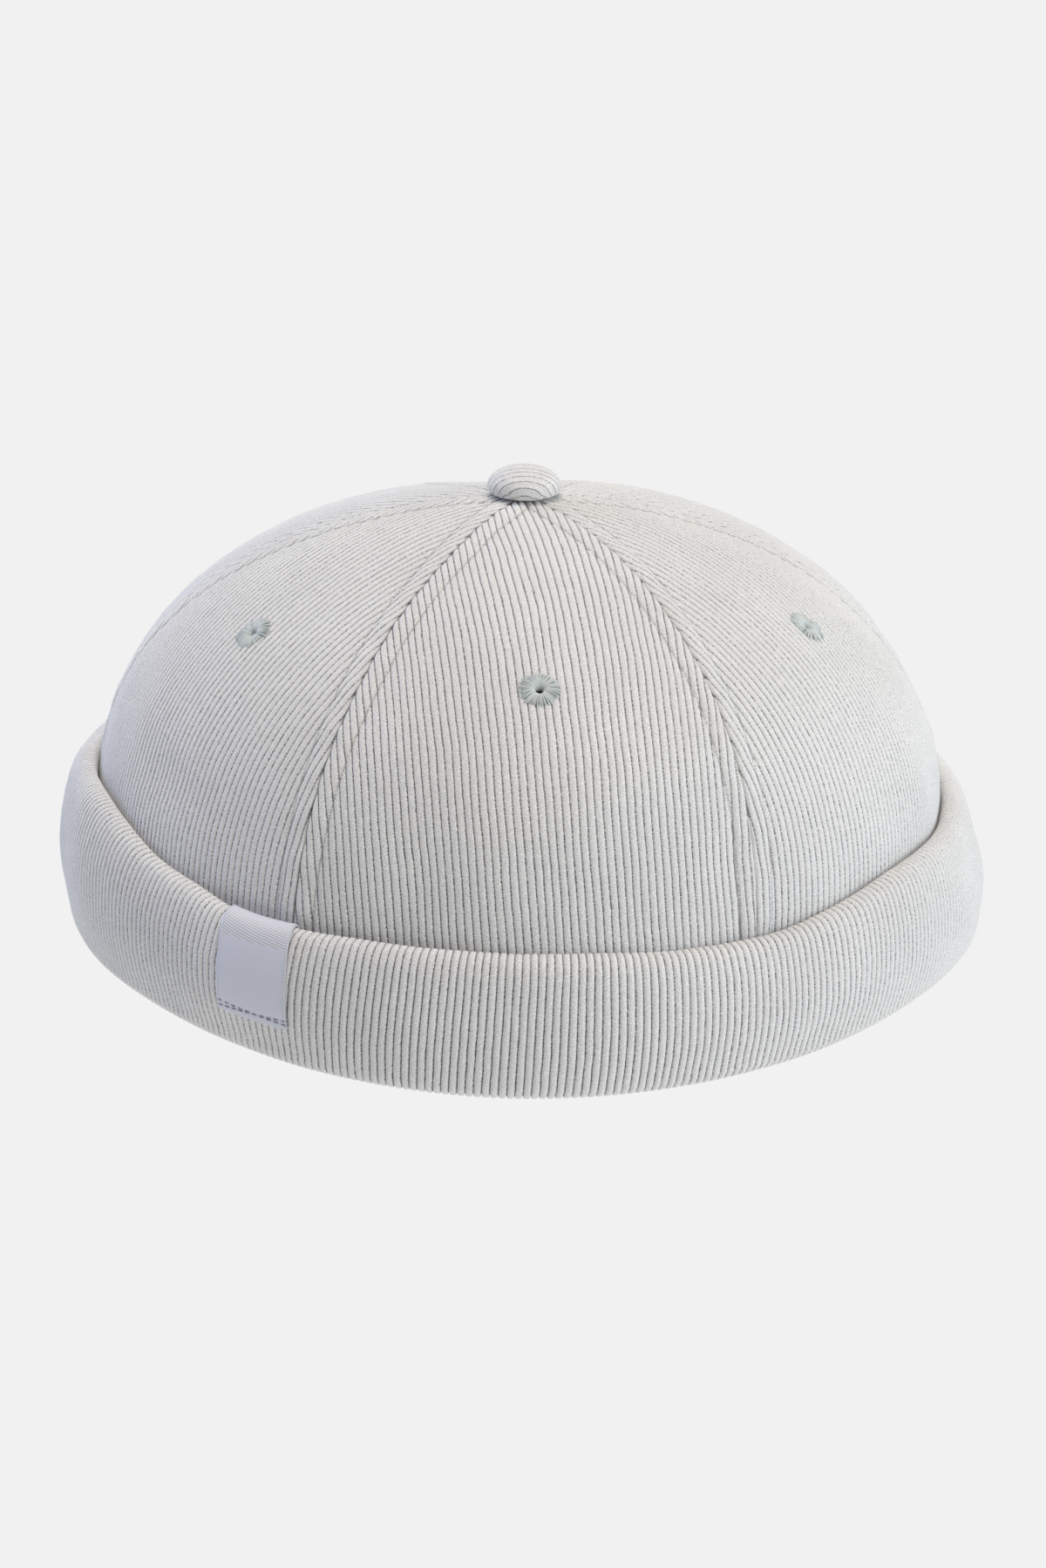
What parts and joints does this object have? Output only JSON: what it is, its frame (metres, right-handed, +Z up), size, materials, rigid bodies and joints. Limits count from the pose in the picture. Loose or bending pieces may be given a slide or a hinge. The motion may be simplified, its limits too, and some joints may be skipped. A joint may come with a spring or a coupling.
{
  "type": "docker cap",
  "caption": "Brimless corduroy cap of panels with overcast eyelets, a covered button on top, a wide turned-up cuff and a small bare woven label.",
  "frame": {"origin": "on the surface that the cuff rests on, under the middle of the whole cap", "axes": "+Z up through the button, -Y to the front of the cap, -X to the wearer's right, where the label is"},
  "size_m": [0.2036, 0.2136, 0.0996],
  "materials": {
    "corduroy": "fine pale grey cotton corduroy, soft matte nap",
    "eyelet_thread": "matte cotton embroidery thread",
    "label_satin": "woven satin tape, soft sheen",
    "rivet_steel": "plain plated steel, hidden"
  },
  "bodies": {
    "root": {"panel_front": "corduroy", "panel_front_left": "corduroy", "panel_back_left": "corduroy", "panel_back": "corduroy", "panel_back_right": "corduroy", "panel_front_right": "corduroy", "eyelet_front": "eyelet_thread", "eyelet_front_left": "eyelet_thread", "eyelet_back_left": "eyelet_thread", "eyelet_back": "eyelet_thread", "eyelet_back_right": "eyelet_thread", "eyelet_front_right": "eyelet_thread", "cuff": "corduroy", "label": "label_satin", "button": "corduroy", "button_rivet": "rivet_steel"}
  },
  "joints": []
}
